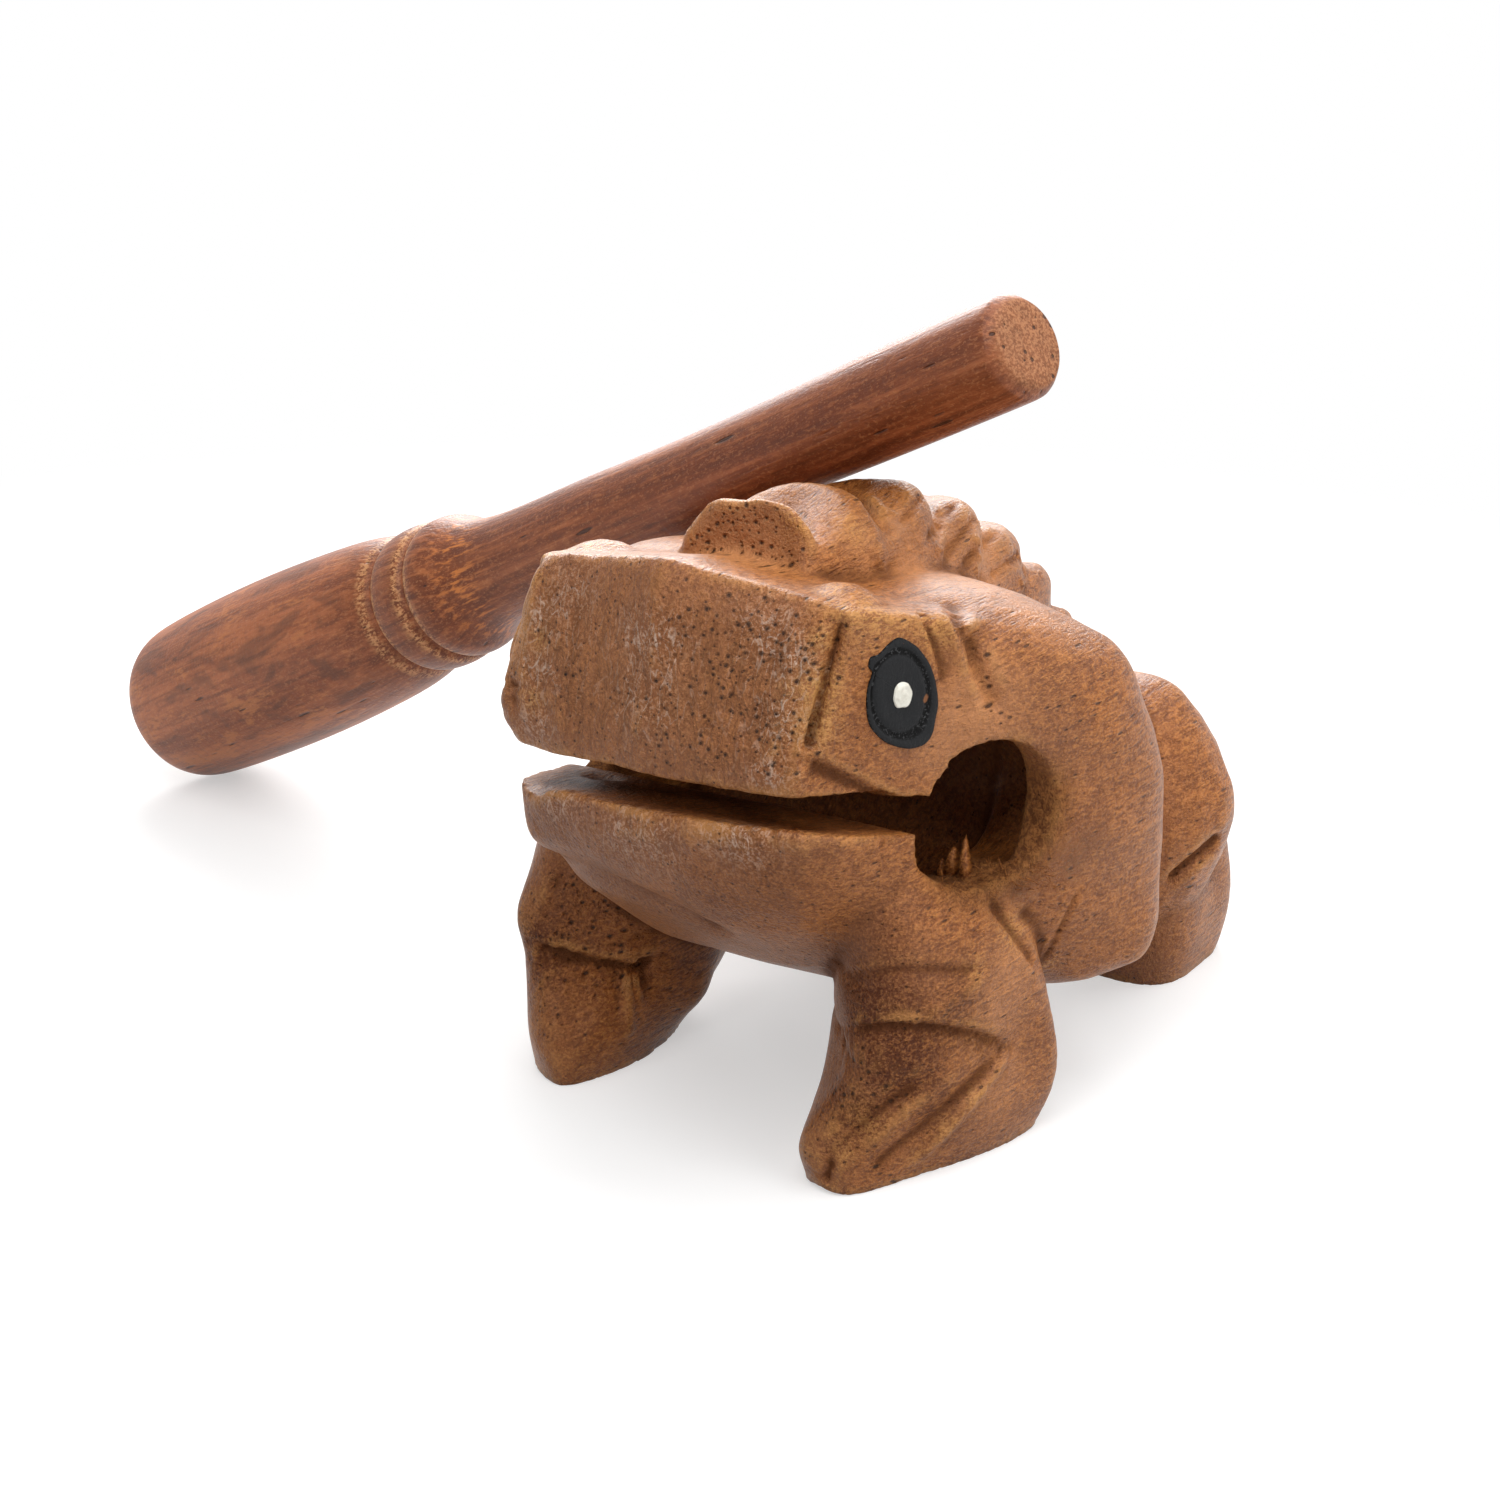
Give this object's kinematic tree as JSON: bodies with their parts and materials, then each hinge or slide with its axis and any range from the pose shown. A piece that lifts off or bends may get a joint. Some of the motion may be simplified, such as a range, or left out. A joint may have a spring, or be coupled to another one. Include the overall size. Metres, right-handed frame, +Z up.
{
  "type": "frog guiro",
  "caption": "Carved wooden frog with a notched comb along its back, a sawn mouth and a hollow body, and a turned stick that is drawn over the comb to make it croak.",
  "frame": {"origin": "under the centre of the footprint of frog and stick together, on the surface that they stand on", "axes": "+Z up, -Y the way the frog looks, +X the frog's own left side"},
  "size_m": [0.1654, 0.0998, 0.0882],
  "materials": {
    "carved_wood": "stained hardwood, carved and sanded, satin",
    "stick_wood": "redder stained hardwood, turned, satin",
    "eye_black": "brushed black paint, half gloss",
    "eye_white": "dab of off-white paint"
  },
  "bodies": {
    "frog": {"frog_body": "carved_wood", "left_eye_paint": "eye_black", "right_eye_paint": "eye_black", "left_eye_dot": "eye_white", "right_eye_dot": "eye_white"},
    "stick": {"striker": "stick_wood"}
  },
  "joints": [
    {"name": "stick_stroke", "type": "slide", "parent": "frog", "child": "stick", "axis": [0, 1, 0], "range_m": [0, 0.065]}
  ]
}
